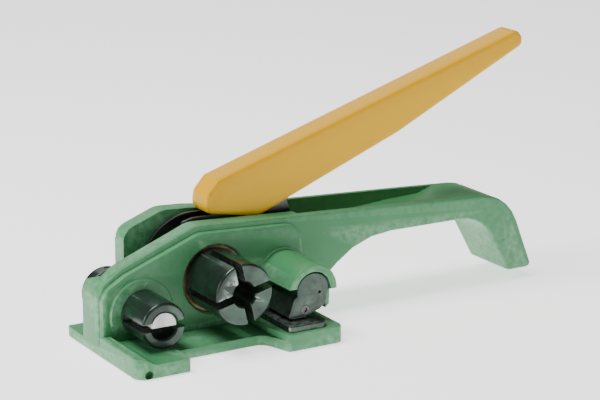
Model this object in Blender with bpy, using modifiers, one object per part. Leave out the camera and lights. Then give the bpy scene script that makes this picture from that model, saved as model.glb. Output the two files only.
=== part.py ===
"""Windlass strapping tensioner: slotted drum on a ratchet, pumping lever, strap gripper and strap cutter.

+X runs from the nose to the tail of the fixed handle, -Y towards the drum, +Z up. The origin is on the
sole, under the front face of the front wall and midway along the sole.
"""

from math import atan2, ceil, cos, degrees, pi, radians, sin, tan

import bmesh
import bpy
from mathutils import Matrix, Vector

MM = 0.001
ROUND = 48
RUNNING = 0.1
SEAT = 0.3

# Casting, in millimetres
SOLE_LENGTH = 133.0
SOLE_WIDTH = 93.0
FLOOR = 6.4
LEFT_PAD = 8.1
LEFT_LIP = 12.0
RIGHT_PAD = 10.6
PAD_LENGTH = 33.3
WAIST = 19.7
FRONT_WALL = 14.2
WALL_GAP = 20.4
BOSS_PLATE = 3.5
RAIL = 5.5
WALL_TOP = 68.0
ARCH_RISE = 3.2
HANDLE_REACH = 172.6
HANDLE_TOP = 64.4
HANDLE_DROP = 8.5
GRIP_SPACE = 45.0
TAIL_DEPTH = 13.0
TAIL_END = 6.2
EDGE = 1.7

# Windlass
WINDLASS_X = 7.0
WINDLASS_Z = 35.5
DRUM_RADIUS = 18.2
DRUM_REACH = 35.8
DRUM_TURN = 13.4
DRUM_SLOT = 4.6
DRUM_BORE = 7.2
BUSH_WALL = 1.9
COUNTERSINK = 0.9
SHAFT_RADIUS = 8.0
SPACER_RADIUS = 13.0
BACK_BUSH_WALL = 3.0
TEETH = 12
TOOTH_DEPTH = 3.5
TIP_LAG = 0.2
RATCHET_RADIUS = 25.0
RATCHET_WIDTH = 7.2
KEY_SIZE = 3.0

# Lever
LEVER_ANGLE = 16.9
CHEEK = 2.5
FRONT_CHEEK_RADIUS = 27.0
REAR_CHEEK_RADIUS = 33.5
ARM_LENGTH = 66.5
ARM_DROP = 8.0
GRIP_LENGTH = 254.0
GRIP_TOP = 49.0
GRIP_ROOF = GRIP_TOP - 14.0
GRIP_RISE = 3.5
GRIP_EDGE = 3.0
DRIVE_NOSE_ANGLE = -8.0
HOLDING_NOSE_ANGLE = DRIVE_NOSE_ANGLE - 60.0
PAWL_PIN_RADIUS = 2.5
PAWL_BOSS = 5.6
PAWL_WIDTH = 4.8
HOLDING_PIN_RADIUS = 3.0
HOLDING_BOSS = 6.0

# Gripper
GRIPPER_X = 52.5
GRIPPER_Z = 30.5
HOOD_INNER = 11.2
HOOD_WALL = 4.6
HOOD_REACH = 36.0
GRIPPER_PIN_RADIUS = 4.0
ANVIL = 3.2
ANVIL_LENGTH = 26.5
STRAP_GAP = 0.5

# Cutter
CUTTER_X = -40.8
CUTTER_Z = 23.0
SLEEVE_RADIUS = 13.6
SLEEVE_REACH = 29.0
SLEEVE_SLOT = 4.6
SPIGOT_RADIUS = 11.0
SPIGOT_END = 12.0
CORE_RADIUS = 7.9
HUB_RADIUS = 15.0
HUB_WIDTH = 11.0

LEFT = -SOLE_LENGTH / 2
RIGHT = SOLE_LENGTH / 2
FRONT = -SOLE_WIDTH / 2
BACK = SOLE_WIDTH / 2
WALL_BACK = FRONT_WALL
GAP_BACK = FRONT_WALL + WALL_GAP
GAP_MIDDLE = FRONT_WALL + WALL_GAP / 2
NOSE_BACK = FRONT_WALL + 10.0
ARCH_LEFT = WINDLASS_X - 41.7
PIN_FRONT = 7.3
PIN_BACK = BACK - 0.5
FORK_WIDTH = RATCHET_WIDTH + 2 * CHEEK + 5 * SEAT
FORK_FRONT = GAP_MIDDLE - FORK_WIDTH / 2
FORK_BACK = GAP_MIDDLE + FORK_WIDTH / 2


def clear_scene():
    for thing in list(bpy.data.objects):
        bpy.data.objects.remove(thing, do_unlink=True)


def new_collection(name, hidden=False):
    group = bpy.data.collections.new(name)
    group.hide_render = hidden
    bpy.context.scene.collection.children.link(group)
    return group


def material(name, colour, metallic, roughness):
    made = bpy.data.materials.new(name)
    made.use_nodes = True
    shader = made.node_tree.nodes["Principled BSDF"]
    shader.inputs["Base Color"].default_value = (*colour, 1.0)
    shader.inputs["Metallic"].default_value = metallic
    shader.inputs["Roughness"].default_value = roughness
    return made


def rounded(corners):
    """Turns (a, b, radius) corners of a closed outline into points, with an arc at each rounded corner."""
    points = []
    count = len(corners)
    for index, (a, b, radius) in enumerate(corners):
        here = Vector((a, b))
        before = (Vector(corners[index - 1][:2]) - here).normalized()
        after = (Vector(corners[(index + 1) % count][:2]) - here).normalized()
        half = before.angle(after) / 2
        if radius <= 0 or half > pi / 2 - 0.01:
            points.append((a, b))
            continue
        centre = here + (before + after).normalized() * radius / sin(half)
        start = here + before * radius / tan(half) - centre
        turn = start.angle_signed(here + after * radius / tan(half) - centre)
        steps = max(2, ceil(abs(degrees(turn)) / 15))
        for step in range(steps + 1):
            angle = -turn * step / steps
            points.append(
                (
                    centre.x + start.x * cos(angle) - start.y * sin(angle),
                    centre.y + start.x * sin(angle) + start.y * cos(angle),
                )
            )
    return points


def arc(centre, radius, first, last, step=7.5):
    """Points along an arc, from the first angle to the last, in degrees."""
    count = max(2, ceil(abs(last - first) / step))
    angles = [radians(first + (last - first) * i / count) for i in range(count + 1)]
    return [(centre[0] + radius * cos(a), centre[1] + radius * sin(a)) for a in angles]


FACING = {
    "X": Matrix(((0, 0, 1, 0), (1, 0, 0, 0), (0, 1, 0, 0), (0, 0, 0, 1))),
    "Y": Matrix(((1, 0, 0, 0), (0, 0, -1, 0), (0, 1, 0, 0), (0, 0, 0, 1))),
    "Z": Matrix.Identity(4),
}


def put(name, mesh, group, look=None, origin=(0.0, 0.0, 0.0)):
    """Makes an object of a mesh drawn in world millimetres, with its origin at the point given."""
    mesh.transform(Matrix.Translation([-value for value in origin]))
    mesh.transform(Matrix.Scale(MM, 4))
    thing = bpy.data.objects.new(name, mesh)
    thing.location = [value * MM for value in origin]
    group.objects.link(thing)
    if look:
        mesh.materials.append(look)
    return thing


def prism_mesh(outline, low, high, facing, edge=0.0):
    """A flat outline drawn out from low to high. Facing Y, the outline is in X and Z."""
    curve = bpy.data.curves.new("outline", "CURVE")
    curve.dimensions = "2D"
    curve.fill_mode = "BOTH"
    curve.extrude = (high - low) / 2 - edge
    curve.bevel_depth = edge
    curve.bevel_resolution = 1
    curve.offset = -edge
    line = curve.splines.new("POLY")
    line.points.add(len(outline) - 1)
    for point, (a, b) in zip(line.points, outline):
        point.co = (a, b, 0.0, 1.0)
    line.use_cyclic_u = True
    holder = bpy.data.objects.new("outline", curve)
    bpy.context.scene.collection.objects.link(holder)
    graph = bpy.context.evaluated_depsgraph_get()
    mesh = bpy.data.meshes.new_from_object(holder.evaluated_get(graph))
    bpy.data.objects.remove(holder, do_unlink=True)
    middle = (low + high) / 2
    if facing == "Y":
        middle = -middle
    mesh.transform(FACING[facing] @ Matrix.Translation((0.0, 0.0, middle)))
    tidy(mesh)
    return mesh


def tidy(mesh):
    work = bmesh.new()
    work.from_mesh(mesh)
    bmesh.ops.remove_doubles(work, verts=work.verts, dist=0.001)
    bmesh.ops.recalc_face_normals(work, faces=work.faces)
    work.to_mesh(mesh)
    work.free()


def turned_mesh(profile, centre, facing="Y", steps=ROUND):
    """Turns (radius, distance) points about an axis. Facing Y, distances run towards +Y."""
    mesh = bpy.data.meshes.new("profile")
    work = bmesh.new()
    corners = [work.verts.new((radius, 0.0, reach)) for radius, reach in profile]
    for first, second in zip(corners, corners[1:]):
        work.edges.new((first, second))
    work.to_mesh(mesh)
    work.free()
    holder = bpy.data.objects.new("profile", mesh)
    bpy.context.scene.collection.objects.link(holder)
    screw = holder.modifiers.new("turn", "SCREW")
    screw.steps = steps
    screw.render_steps = steps
    screw.use_merge_vertices = True
    screw.merge_threshold = 0.0001
    graph = bpy.context.evaluated_depsgraph_get()
    made = bpy.data.meshes.new_from_object(holder.evaluated_get(graph))
    bpy.data.objects.remove(holder, do_unlink=True)
    if facing == "Y":
        made.transform(Matrix.Rotation(-pi / 2, 4, "X"))
    if facing == "X":
        made.transform(Matrix.Rotation(pi / 2, 4, "Y"))
    made.transform(Matrix.Translation(centre))
    tidy(made)
    return made


def rod_mesh(radius, centre, low, high, facing="Y", chamfer=0.4, steps=ROUND):
    """A plain pin with small chamfers, from low to high along its axis."""
    profile = [
        (0.0, low),
        (radius - chamfer, low),
        (radius, low + chamfer),
        (radius, high - chamfer),
        (radius - chamfer, high),
        (0.0, high),
    ]
    return turned_mesh(profile, centre, facing, steps)


def ring_mesh(inner, outer, centre, low, high, facing="Y", chamfer=0.3):
    """A bush or washer, from low to high along its axis."""
    profile = [
        (inner, low),
        (outer - chamfer, low),
        (outer, low + chamfer),
        (outer, high - chamfer),
        (outer - chamfer, high),
        (inner, high),
        (inner, low),
    ]
    return turned_mesh(profile, centre, facing)


def box_mesh(low, high):
    mesh = bpy.data.meshes.new("box")
    work = bmesh.new()
    bmesh.ops.create_cube(work, size=1.0)
    work.to_mesh(mesh)
    work.free()
    size = Vector(high) - Vector(low)
    middle = (Vector(high) + Vector(low)) / 2
    mesh.transform(Matrix.Translation(middle) @ Matrix.Diagonal((*size, 1.0)))
    return mesh


class Workshop:
    """Keeps the collections, and adds Boolean pieces to a part."""

    def __init__(self):
        self.parts = new_collection("strapping_tensioner")
        self.tools = new_collection("cutters", hidden=True)
        self.made = 0

    def tool(self, mesh, origin=(0.0, 0.0, 0.0)):
        self.made += 1
        thing = put(f"tool_{self.made}", mesh, self.tools, None, origin)
        thing.hide_render = True
        thing.display_type = "WIRE"
        return thing

    def combine(self, part, mesh, operation):
        step = part.modifiers.new(operation.lower(), "BOOLEAN")
        step.operation = operation
        step.solver = "EXACT"
        step.object = self.tool(mesh)
        return step

    def part(self, name, mesh, look, cuts=(), joins=(), origin=(0.0, 0.0, 0.0), smooth=True):
        thing = put(name, mesh, self.parts, look, origin)
        for extra in joins:
            self.combine(thing, extra, "UNION")
        for cut in cuts:
            self.combine(thing, cut, "DIFFERENCE")
        if smooth:
            thing.data.shade_smooth()
        return thing


def lever_point(along, up):
    """A point of the lever, given along and across it from the windlass axis, as world X and Z."""
    angle = radians(LEVER_ANGLE)
    x = WINDLASS_X + along * cos(angle) - up * sin(angle)
    z = WINDLASS_Z + along * sin(angle) + up * cos(angle)
    return x, z


def lever_outline(corners):
    return rounded([(*lever_point(along, up), radius) for along, up, radius in corners])


def handle_top(x):
    return HANDLE_TOP - HANDLE_DROP * (x - RIGHT) / HANDLE_REACH


def handle_corners():
    """The handle's corners from its top, round the tail and back under the grip to the sole's right end."""
    tail = RIGHT + HANDLE_REACH
    bend = tail - 20.0
    return [
        (bend, handle_top(bend), 30.0),
        (tail, TAIL_END, 3.0),
        (tail - 1.45 * TAIL_DEPTH, TAIL_END, 3.0),
        (bend - 1.55 * TAIL_DEPTH, GRIP_SPACE, 27.0),
        (RIGHT + 42.7, GRIP_SPACE, 58.0),
        (RIGHT + 0.3, RIGHT_PAD - 3.0, 0.0),
        (RIGHT + 0.3, 0.4, 0.0),
    ]


def front_outline():
    """The front wall: nose, slanted edge, top and fixed handle."""
    return rounded(
        [
            (LEFT + 0.15, 0.5, 0.0),
            (LEFT + 0.15, CUTTER_Z + 16.0, 14.0),
            (LEFT + 15.0, WALL_TOP - 18.8, 12.0),
            (WINDLASS_X - 10.5, WALL_TOP, 16.0),
            (RIGHT, handle_top(RIGHT), 0.0),
            *handle_corners(),
        ]
    )


def arch_outline():
    """The head of the back wall, which stands over the ratchet."""
    return rounded(
        [
            (ARCH_LEFT, 2.0, 0.0),
            (ARCH_LEFT, WALL_TOP - 6.5, 9.0),
            (WINDLASS_X - 16.0, WALL_TOP + ARCH_RISE, 14.0),
            (WINDLASS_X + 2.0, WALL_TOP + ARCH_RISE - 1.0, 0.0),
            (RIGHT + 12.0, handle_top(RIGHT) - 3.0, 0.0),
            (RIGHT - 10.0, 24.0, 0.0),
            (WINDLASS_X, 2.0, 0.0),
        ]
    )


def gap_outline():
    """The space between the walls, above the nose block and the floor."""
    return rounded(
        [
            (LEFT - 20.0, WALL_TOP + 30.0, 0.0),
            (LEFT - 20.0, CUTTER_Z + 17.4, 0.0),
            (LEFT + 14.0, CUTTER_Z + 17.4, 8.0),
            (CUTTER_X + 13.0, CUTTER_Z + 7.0, 8.0),
            (CUTTER_X + 13.0, FLOOR - 0.1, 0.0),
            (RIGHT - 8.0, FLOOR - 0.1, 6.0),
            (RIGHT + 2.0, 17.0, 0.0),
            (RIGHT + 2.0, WALL_TOP + 30.0, 0.0),
        ]
    )


def channel_outline():
    """The open channel along the handle, above the floor that closes towards the bend."""
    return rounded(
        [
            (RIGHT + 1.0, WALL_TOP + 30.0, 0.0),
            (RIGHT + 1.0, 17.3, 0.0),
            (RIGHT + 33.0, GRIP_SPACE + 5.0, 40.0),
            (RIGHT + 84.0, GRIP_SPACE + 9.0, 60.0),
            (RIGHT + 108.0, GRIP_SPACE + 9.8, 0.0),
            (RIGHT + 121.0, handle_top(RIGHT + 121.0) + 0.6, 0.0),
            (RIGHT + 125.0, WALL_TOP + 30.0, 0.0),
        ]
    )


def casting_adds():
    """The pieces of the casting that join its floor slab."""
    left_pad = rounded(
        [
            (LEFT, FRONT, 6.5),
            (LEFT + PAD_LENGTH, FRONT, 2.0),
            (LEFT + PAD_LENGTH, 2.0, 0.0),
            (LEFT, 2.0, 0.0),
        ]
    )
    right_pad = rounded(
        [
            (RIGHT - 36.5, FRONT, 2.0),
            (RIGHT, FRONT, 4.5),
            (RIGHT, BACK - 0.1, 6.0),
            (RIGHT - 40.0, BACK - 0.1, 0.0),
            (RIGHT - 40.0, FRONT + WAIST, 6.0),
        ]
    )
    boss_plate = rounded(
        [
            (LEFT + 1.2, 3.0, 0.0),
            (LEFT + 1.2, CUTTER_Z + 14.5, 12.0),
            (LEFT + 16.0, WALL_TOP - 21.8, 12.0),
            (WINDLASS_X - 9.5, WALL_TOP - 3.8, 14.0),
            (RIGHT - 1.0, handle_top(RIGHT) - 3.6, 12.0),
            (RIGHT + 2.0, RIGHT_PAD + 8.0, 0.0),
            (RIGHT - 6.0, 3.0, 0.0),
        ]
    )
    hood = arc((GRIPPER_X, GRIPPER_Z), HOOD_INNER + HOOD_WALL, -3.0, 171.0)
    hood += arc((GRIPPER_X, GRIPPER_Z), HOOD_INNER, 168.0, -4.0)
    hood_root = arc((GRIPPER_X, GRIPPER_Z), HOOD_INNER + HOOD_WALL + 1.6, -3.0, 173.0)
    hood_root += arc((GRIPPER_X, GRIPPER_Z), HOOD_INNER, 168.0, -4.0)
    rib_left = GRIPPER_X + HOOD_INNER + 0.1
    rib = [
        (rib_left, GRIPPER_Z + 2.0),
        (rib_left, GRIPPER_Z - 13.5),
        (rib_left + 2.4, GRIPPER_Z - 11.5),
        (rib_left + 2.9, GRIPPER_Z + 2.0),
    ]
    return [
        prism_mesh(left_pad, 0.2, LEFT_LIP, "Z", 1.0),
        prism_mesh(right_pad, 0.2, RIGHT_PAD, "Z", 1.0),
        prism_mesh(front_outline(), BOSS_PLATE, BACK - 0.2, "Y", EDGE),
        prism_mesh(arch_outline(), GAP_BACK - 1.0, BACK, "Y", EDGE),
        prism_mesh(boss_plate, 0.0, BOSS_PLATE + 3.0, "Y", 2.4),
        ring_mesh(SPIGOT_RADIUS, SLEEVE_RADIUS + 6.6, (CUTTER_X, 0.0, CUTTER_Z), -1.2, 3.0, chamfer=0.9),
        prism_mesh(hood_root, -1.4, 2.0, "Y", 0.6),
        prism_mesh(hood, -HOOD_REACH, 2.0, "Y", 1.0),
        prism_mesh(rib, -HOOD_REACH + 6.0, 2.0, "Y"),
    ]


def casting_cuts():
    """The spaces and bores of the casting."""
    scoop = rounded(
        [
            (LEFT + 5.0, LEFT_LIP + 6.0, 0.0),
            (LEFT + 5.0, LEFT_LIP - 0.3, 3.0),
            (LEFT + 11.0, LEFT_PAD, 6.0),
            (LEFT + PAD_LENGTH + 4.0, LEFT_PAD, 0.0),
            (LEFT + PAD_LENGTH + 4.0, LEFT_LIP + 6.0, 0.0),
        ]
    )
    bush = DRUM_RADIUS + RUNNING + BUSH_WALL + RUNNING
    main_bore = [
        (0.0, -5.0),
        (bush + COUNTERSINK + 5.0, -5.0),
        (bush, COUNTERSINK),
        (bush, WALL_BACK + 5.0),
        (0.0, WALL_BACK + 5.0),
    ]
    cutter_bore = [
        (0.0, -5.0),
        (SPIGOT_RADIUS + RUNNING, -5.0),
        (SPIGOT_RADIUS + RUNNING, SPIGOT_END + SEAT),
        (CORE_RADIUS + RUNNING, SPIGOT_END + SEAT),
        (CORE_RADIUS + RUNNING, WALL_BACK + 15.0),
        (0.0, WALL_BACK + 15.0),
    ]
    slot_half = REAR_CHEEK_RADIUS * 0.62
    windlass = (WINDLASS_X, 0.0, WINDLASS_Z)
    cutter = (CUTTER_X, 0.0, CUTTER_Z)
    back_bush = SHAFT_RADIUS + RUNNING + BACK_BUSH_WALL
    holding_x, holding_z = holding_pin()
    taper = [
        (RIGHT + 20.0, BACK),
        (RIGHT + 20.0, BACK + 9.0),
        (RIGHT + 190.0, BACK + 9.0),
        (RIGHT + 190.0, BACK - 4.0),
    ]
    floor_slot = (
        (WINDLASS_X - slot_half, WALL_BACK + 1.5, -2.0),
        (WINDLASS_X + slot_half, GAP_BACK - 1.5, FLOOR + 2.0),
    )
    behind_nose = (
        (LEFT - 20.0, NOSE_BACK, FLOOR - 0.2),
        (ARCH_LEFT + 0.2, BACK + 20.0, WALL_TOP + 30.0),
    )
    pin_hole = HOLDING_PIN_RADIUS + RUNNING
    gripper_hole = GRIPPER_PIN_RADIUS + RUNNING
    gripper = (GRIPPER_X, 0.0, GRIPPER_Z)
    return [
        prism_mesh(gap_outline(), WALL_BACK, GAP_BACK, "Y"),
        prism_mesh(channel_outline(), BOSS_PLATE + RAIL, BACK - RAIL, "Y"),
        box_mesh(*behind_nose),
        prism_mesh(scoop, FRONT - 4.0, -0.5, "Y"),
        prism_mesh(taper, -5.0, WALL_TOP + 20.0, "Z"),
        box_mesh(*floor_slot),
        turned_mesh(main_bore, windlass),
        rod_mesh(back_bush + RUNNING, windlass, GAP_BACK - 5.0, BACK + 5.0, chamfer=0.0),
        turned_mesh(cutter_bore, cutter),
        rod_mesh(HUB_RADIUS + 1.0, cutter, NOSE_BACK + 0.1, BACK + 5.0, chamfer=0.0),
        rod_mesh(pin_hole, (holding_x, 0.0, holding_z), 7.0, BACK + 5.0, chamfer=0.0),
        rod_mesh(pin_hole, stop_pin(), 7.0, BACK + 5.0, chamfer=0.0),
        rod_mesh(gripper_hole, gripper, -2.0, 12.3, chamfer=0.0),
        rod_mesh(2.5, (LEFT + 7.0, 0.0, 2.6), FRONT - 2.0, FRONT + 4.0, chamfer=0.0, steps=24),
        *anvil_screw_holes(),
    ]


def holding_pin():
    """X and Z of the holding pawl's pin, clear of the swinging cheeks."""
    reach = REAR_CHEEK_RADIUS + HOLDING_BOSS + 1.5
    angle = radians(-25.0)
    return WINDLASS_X + reach * cos(angle), WINDLASS_Z + reach * sin(angle)


def stop_pin():
    """The centre of the pin that the lever's arms come down on."""
    along = ARM_LENGTH - 9.0
    underside = -ARM_DROP * (ARM_LENGTH - along) / ARM_LENGTH
    x, z = lever_point(along, underside - HOLDING_PIN_RADIUS - 2 * SEAT)
    return (x, 0.0, z)


def anvil_screw_places():
    left = RIGHT - 36.5 + ANVIL_LENGTH / 2
    return [(left, FRONT + 12.0), (left, -10.0)]


def anvil_screw_holes():
    cuts = []
    profile = [
        (0.0, -2.0),
        (4.2, -2.0),
        (4.2, 3.6),
        (2.1, 3.6),
        (2.1, RIGHT_PAD + 5.0),
        (0.0, RIGHT_PAD + 5.0),
    ]
    for x, y in anvil_screw_places():
        cuts.append(turned_mesh(profile, (x, y, 0.0), "Z", 24))
    return cuts


def build_casting(shop):
    plan = rounded(
        [
            (LEFT, FRONT, 6.5),
            (LEFT + PAD_LENGTH, FRONT, 2.0),
            (LEFT + PAD_LENGTH, FRONT + WAIST, 3.0),
            (RIGHT - 43.0, FRONT + WAIST, 7.0),
            (RIGHT - 36.5, FRONT, 2.0),
            (RIGHT, FRONT, 4.5),
            (RIGHT, BACK, 6.0),
            (LEFT, BACK, 9.0),
        ]
    )
    green = material("green_casting", (0.16, 0.36, 0.21), 0.0, 0.45)
    slab = prism_mesh(plan, 0.0, FLOOR, "Z", 0.8)
    return shop.part("body_casting", slab, green, casting_cuts(), casting_adds())


def windlass_point(radius, turn):
    """X and Z of a point at this distance from the windlass axis and this many degrees up from +X."""
    return WINDLASS_X + radius * cos(radians(turn)), WINDLASS_Z + radius * sin(radians(turn))


def build_windlass(shop, steel, dark):
    axis = (WINDLASS_X, 0.0, WINDLASS_Z)
    shoulder = WALL_BACK - 0.5
    end = BACK + 4.6
    groove = BACK + 2.4
    drum_profile = [
        (0.0, -DRUM_REACH + 30.0),
        (DRUM_BORE, -DRUM_REACH + 30.0),
        (DRUM_BORE, -DRUM_REACH + 0.8),
        (DRUM_BORE + 0.8, -DRUM_REACH),
        (DRUM_RADIUS - 1.4, -DRUM_REACH),
        (DRUM_RADIUS, -DRUM_REACH + 1.4),
        (DRUM_RADIUS, shoulder),
        (SHAFT_RADIUS, shoulder),
        (SHAFT_RADIUS, groove),
        (SHAFT_RADIUS - 1.2, groove),
        (SHAFT_RADIUS - 1.2, groove + 1.4),
        (SHAFT_RADIUS, groove + 1.4),
        (SHAFT_RADIUS, end - 0.8),
        (SHAFT_RADIUS - 0.8, end),
        (0.0, end),
    ]
    slots = []
    for turn in (DRUM_TURN, DRUM_TURN + 90.0):
        slot = box_mesh(
            (-DRUM_RADIUS - 5.0, -DRUM_REACH - 5.0, -DRUM_SLOT / 2),
            (DRUM_RADIUS + 5.0, -2.0, DRUM_SLOT / 2),
        )
        slot.transform(Matrix.Translation(axis) @ Matrix.Rotation(radians(-turn), 4, "Y"))
        slots.append(slot)
    ratchet_front = GAP_MIDDLE - RATCHET_WIDTH / 2
    ratchet_back = GAP_MIDDLE + RATCHET_WIDTH / 2
    key_low = WINDLASS_Z + SHAFT_RADIUS - KEY_SIZE / 2
    half_key = KEY_SIZE / 2
    keyway = (
        (WINDLASS_X - half_key - RUNNING, ratchet_front, key_low - RUNNING),
        (WINDLASS_X + half_key + RUNNING, ratchet_back, key_low + KEY_SIZE + RUNNING),
    )
    drum = turned_mesh(drum_profile, axis)
    shop.part("windlass_drum", drum, dark, [*slots, box_mesh(*keyway)], origin=axis)
    pitch = 360.0 / TEETH
    root = RATCHET_RADIUS - TOOTH_DEPTH
    wheel = []
    for tooth in range(TEETH):
        tip = pitch * tooth + LEVER_ANGLE + DRIVE_NOSE_ANGLE - TIP_LAG
        wheel.append(windlass_point(RATCHET_RADIUS, tip))
        wheel.append(windlass_point(root, tip + 0.02 * pitch))
        wheel.append(windlass_point(root, tip + 0.17 * pitch))
        wheel.append(windlass_point(RATCHET_RADIUS - 0.5, tip + 0.83 * pitch))
    inner = SHAFT_RADIUS + RUNNING
    wheel_keyway = (
        (keyway[0][0], ratchet_front - 2.0, keyway[0][2]),
        (keyway[1][0], ratchet_back + 2.0, keyway[1][2]),
    )
    wheel_cuts = [
        rod_mesh(inner, axis, ratchet_front - 3.0, ratchet_back + 3.0, chamfer=0.0),
        box_mesh(*wheel_keyway),
    ]
    wheel_blank = prism_mesh(wheel, ratchet_front, ratchet_back, "Y")
    shop.part("ratchet_wheel", wheel_blank, steel, wheel_cuts, origin=axis, smooth=False)
    shop.part(
        "ratchet_key",
        box_mesh(
            (WINDLASS_X - half_key, ratchet_front + RUNNING, key_low),
            (WINDLASS_X + half_key, ratchet_back - RUNNING, key_low + KEY_SIZE),
        ),
        steel,
        origin=axis,
        smooth=False,
    )
    for name, low, high in (
        ("front_spacer", WALL_BACK - 0.2, FORK_FRONT - SEAT),
        ("rear_spacer", FORK_BACK + SEAT, GAP_BACK - SEAT),
        ("shaft_washer", BACK + SEAT, groove - RUNNING),
    ):
        shop.part(name, ring_mesh(inner, SPACER_RADIUS, axis, low, high), steel, origin=axis)
    ring_low = groove + RUNNING
    ring_inner = SHAFT_RADIUS - 1.2 + RUNNING
    clip = arc((WINDLASS_X, WINDLASS_Z), SHAFT_RADIUS + 1.8, -70.0, 250.0)
    clip += arc((WINDLASS_X, WINDLASS_Z), ring_inner, 250.0, -70.0)
    shop.part("shaft_circlip", prism_mesh(clip, ring_low, groove + 1.3, "Y"), steel, origin=axis)
    bronze = material("bronze", (0.25, 0.17, 0.08), 1.0, 0.4)
    bore = DRUM_RADIUS + RUNNING
    front = ring_mesh(bore, bore + BUSH_WALL, axis, 1.2, WALL_BACK - 0.3)
    shop.part("front_bush", front, bronze, origin=axis)
    back = ring_mesh(inner, inner + BACK_BUSH_WALL, axis, GAP_BACK + RUNNING, BACK - RUNNING)
    shop.part("back_bush", back, bronze, origin=axis)


def build_lever(shop, steel, yellow):
    axis = (WINDLASS_X, GAP_MIDDLE, WINDLASS_Z)
    windlass = (WINDLASS_X, 0.0, WINDLASS_Z)
    hub_bore = SHAFT_RADIUS + RUNNING
    cheeks = []
    for radius, low in ((FRONT_CHEEK_RADIUS, FORK_FRONT), (REAR_CHEEK_RADIUS, FORK_BACK - CHEEK)):
        cheeks.append(rod_mesh(radius, windlass, low, low + CHEEK, chamfer=0.3))
        arm = lever_outline(
            [
                (0.0, -ARM_DROP, 0.0),
                (ARM_LENGTH, 0.0, 2.0),
                (ARM_LENGTH, GRIP_ROOF - 3.0, 2.0),
                (21.8, GRIP_ROOF + 4.0, 2.0),
                (17.0, GRIP_ROOF - 5.5, 2.0),
                (5.0, GRIP_ROOF - 2.0, 2.0),
                (-3.0, GRIP_ROOF - 1.7, 2.0),
                (-3.0, FRONT_CHEEK_RADIUS - 3.0, 0.0),
            ]
        )
        cheeks.append(prism_mesh(arm, low + 0.1, low + CHEEK - 0.1, "Y", 0.3))
    bridge = lever_outline(
        [
            (32.0, GRIP_ROOF - 7.0, 0.0),
            (ARM_LENGTH - 6.0, GRIP_ROOF - 7.0, 0.0),
            (ARM_LENGTH - 6.0, GRIP_ROOF - 3.4, 0.0),
            (32.0, GRIP_ROOF - 3.4, 0.0),
        ]
    )
    cheeks.append(prism_mesh(bridge, FORK_FRONT + 1.0, FORK_BACK - 1.0, "Y"))
    pin_x, pin_z = drive_pin()
    pin = (pin_x, 0.0, pin_z)
    pin_hole = PAWL_PIN_RADIUS + RUNNING
    cuts = [
        rod_mesh(hub_bore, windlass, FORK_FRONT - 3.0, FORK_BACK + 3.0, chamfer=0.0),
        rod_mesh(pin_hole, pin, FORK_FRONT - 3.0, FORK_BACK + 3.0, chamfer=0.0),
        *grip_screws("cut"),
    ]
    shop.part("lever_fork", cheeks[0], steel, cuts, cheeks[1:], origin=axis)
    outline = lever_outline(
        [
            (26.0, GRIP_TOP, 5.0),
            (GRIP_LENGTH, GRIP_TOP + GRIP_RISE, 5.6),
            (GRIP_LENGTH - 2.0, GRIP_TOP + GRIP_RISE - 11.0, 4.8),
            (150.0, 24.8, 0.0),
            (44.0, 16.0, 13.0),
            (11.5, 33.0, 6.0),
            (16.5, 43.0, 5.0),
        ]
    )
    grip_front = FORK_FRONT - 3.0 + RUNNING
    grip_back = FORK_BACK + 3.0 - RUNNING
    cavity = lever_outline(
        [
            (15.3, 0.0, 0.0),
            (ARM_LENGTH + 1.5, 0.0, 0.0),
            (ARM_LENGTH + 1.5, GRIP_ROOF + 1.0, 0.0),
            (20.0, GRIP_ROOF + 6.0, 0.0),
            (15.3, GRIP_ROOF - 3.5, 0.0),
        ]
    )
    shop.part(
        "lever_grip",
        prism_mesh(outline, grip_front, grip_back, "Y", GRIP_EDGE),
        yellow,
        [prism_mesh(cavity, FORK_FRONT - SEAT, FORK_BACK + SEAT, "Y"), *grip_screws("tap")],
        origin=axis,
    )
    for number, screw in enumerate(grip_screws("screw"), start=1):
        shop.part(f"grip_screw_{number}", screw, steel, origin=axis)
    pin_axis = (pin_x, GAP_MIDDLE, pin_z)
    shop.part(
        "drive_pawl_pin",
        rod_mesh(PAWL_PIN_RADIUS, pin, FORK_FRONT + 0.1, FORK_BACK - 0.1),
        steel,
        origin=pin_axis,
    )
    pawl_front = FORK_FRONT + CHEEK + SEAT
    pawl = pawl_outline((pin_x, pin_z), PAWL_BOSS, DRIVE_NOSE_ANGLE + LEVER_ANGLE)
    shop.part(
        "drive_pawl",
        prism_mesh(pawl, pawl_front, pawl_front + PAWL_WIDTH, "Y"),
        steel,
        [rod_mesh(pin_hole, pin, FORK_FRONT, FORK_BACK, chamfer=0.0)],
        origin=pin_axis,
    )
    coil(
        shop,
        "drive_pawl_spring",
        (pin_x, pin_z),
        PAWL_PIN_RADIUS + 1.0,
        0.4,
        pawl_front + PAWL_WIDTH + SEAT,
        FORK_BACK - CHEEK - SEAT,
        steel,
    )


def drive_pin():
    """X and Z of the drive pawl's pin."""
    return lever_point(37.0, 15.0)


def pawl_outline(pin, boss, nose_angle):
    """A pawl from its boss to a nose that just clears the ratchet's tips at the angle given."""
    angle = radians(nose_angle)
    centre = Vector((WINDLASS_X, WINDLASS_Z))
    outward = Vector((cos(angle), sin(angle)))
    nose = centre + outward * (RATCHET_RADIUS + SEAT)
    heel = nose + outward * 4.6
    towards = degrees(atan2(nose.y - pin[1], nose.x - pin[0]))
    wrap = arc(pin, boss, towards + 90.0, towards + 270.0)
    if (Vector(wrap[0]) - heel).length < (Vector(wrap[0]) - nose).length:
        return [*wrap, tuple(nose), tuple(heel)]
    return [*wrap, tuple(heel), tuple(nose)]


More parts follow.
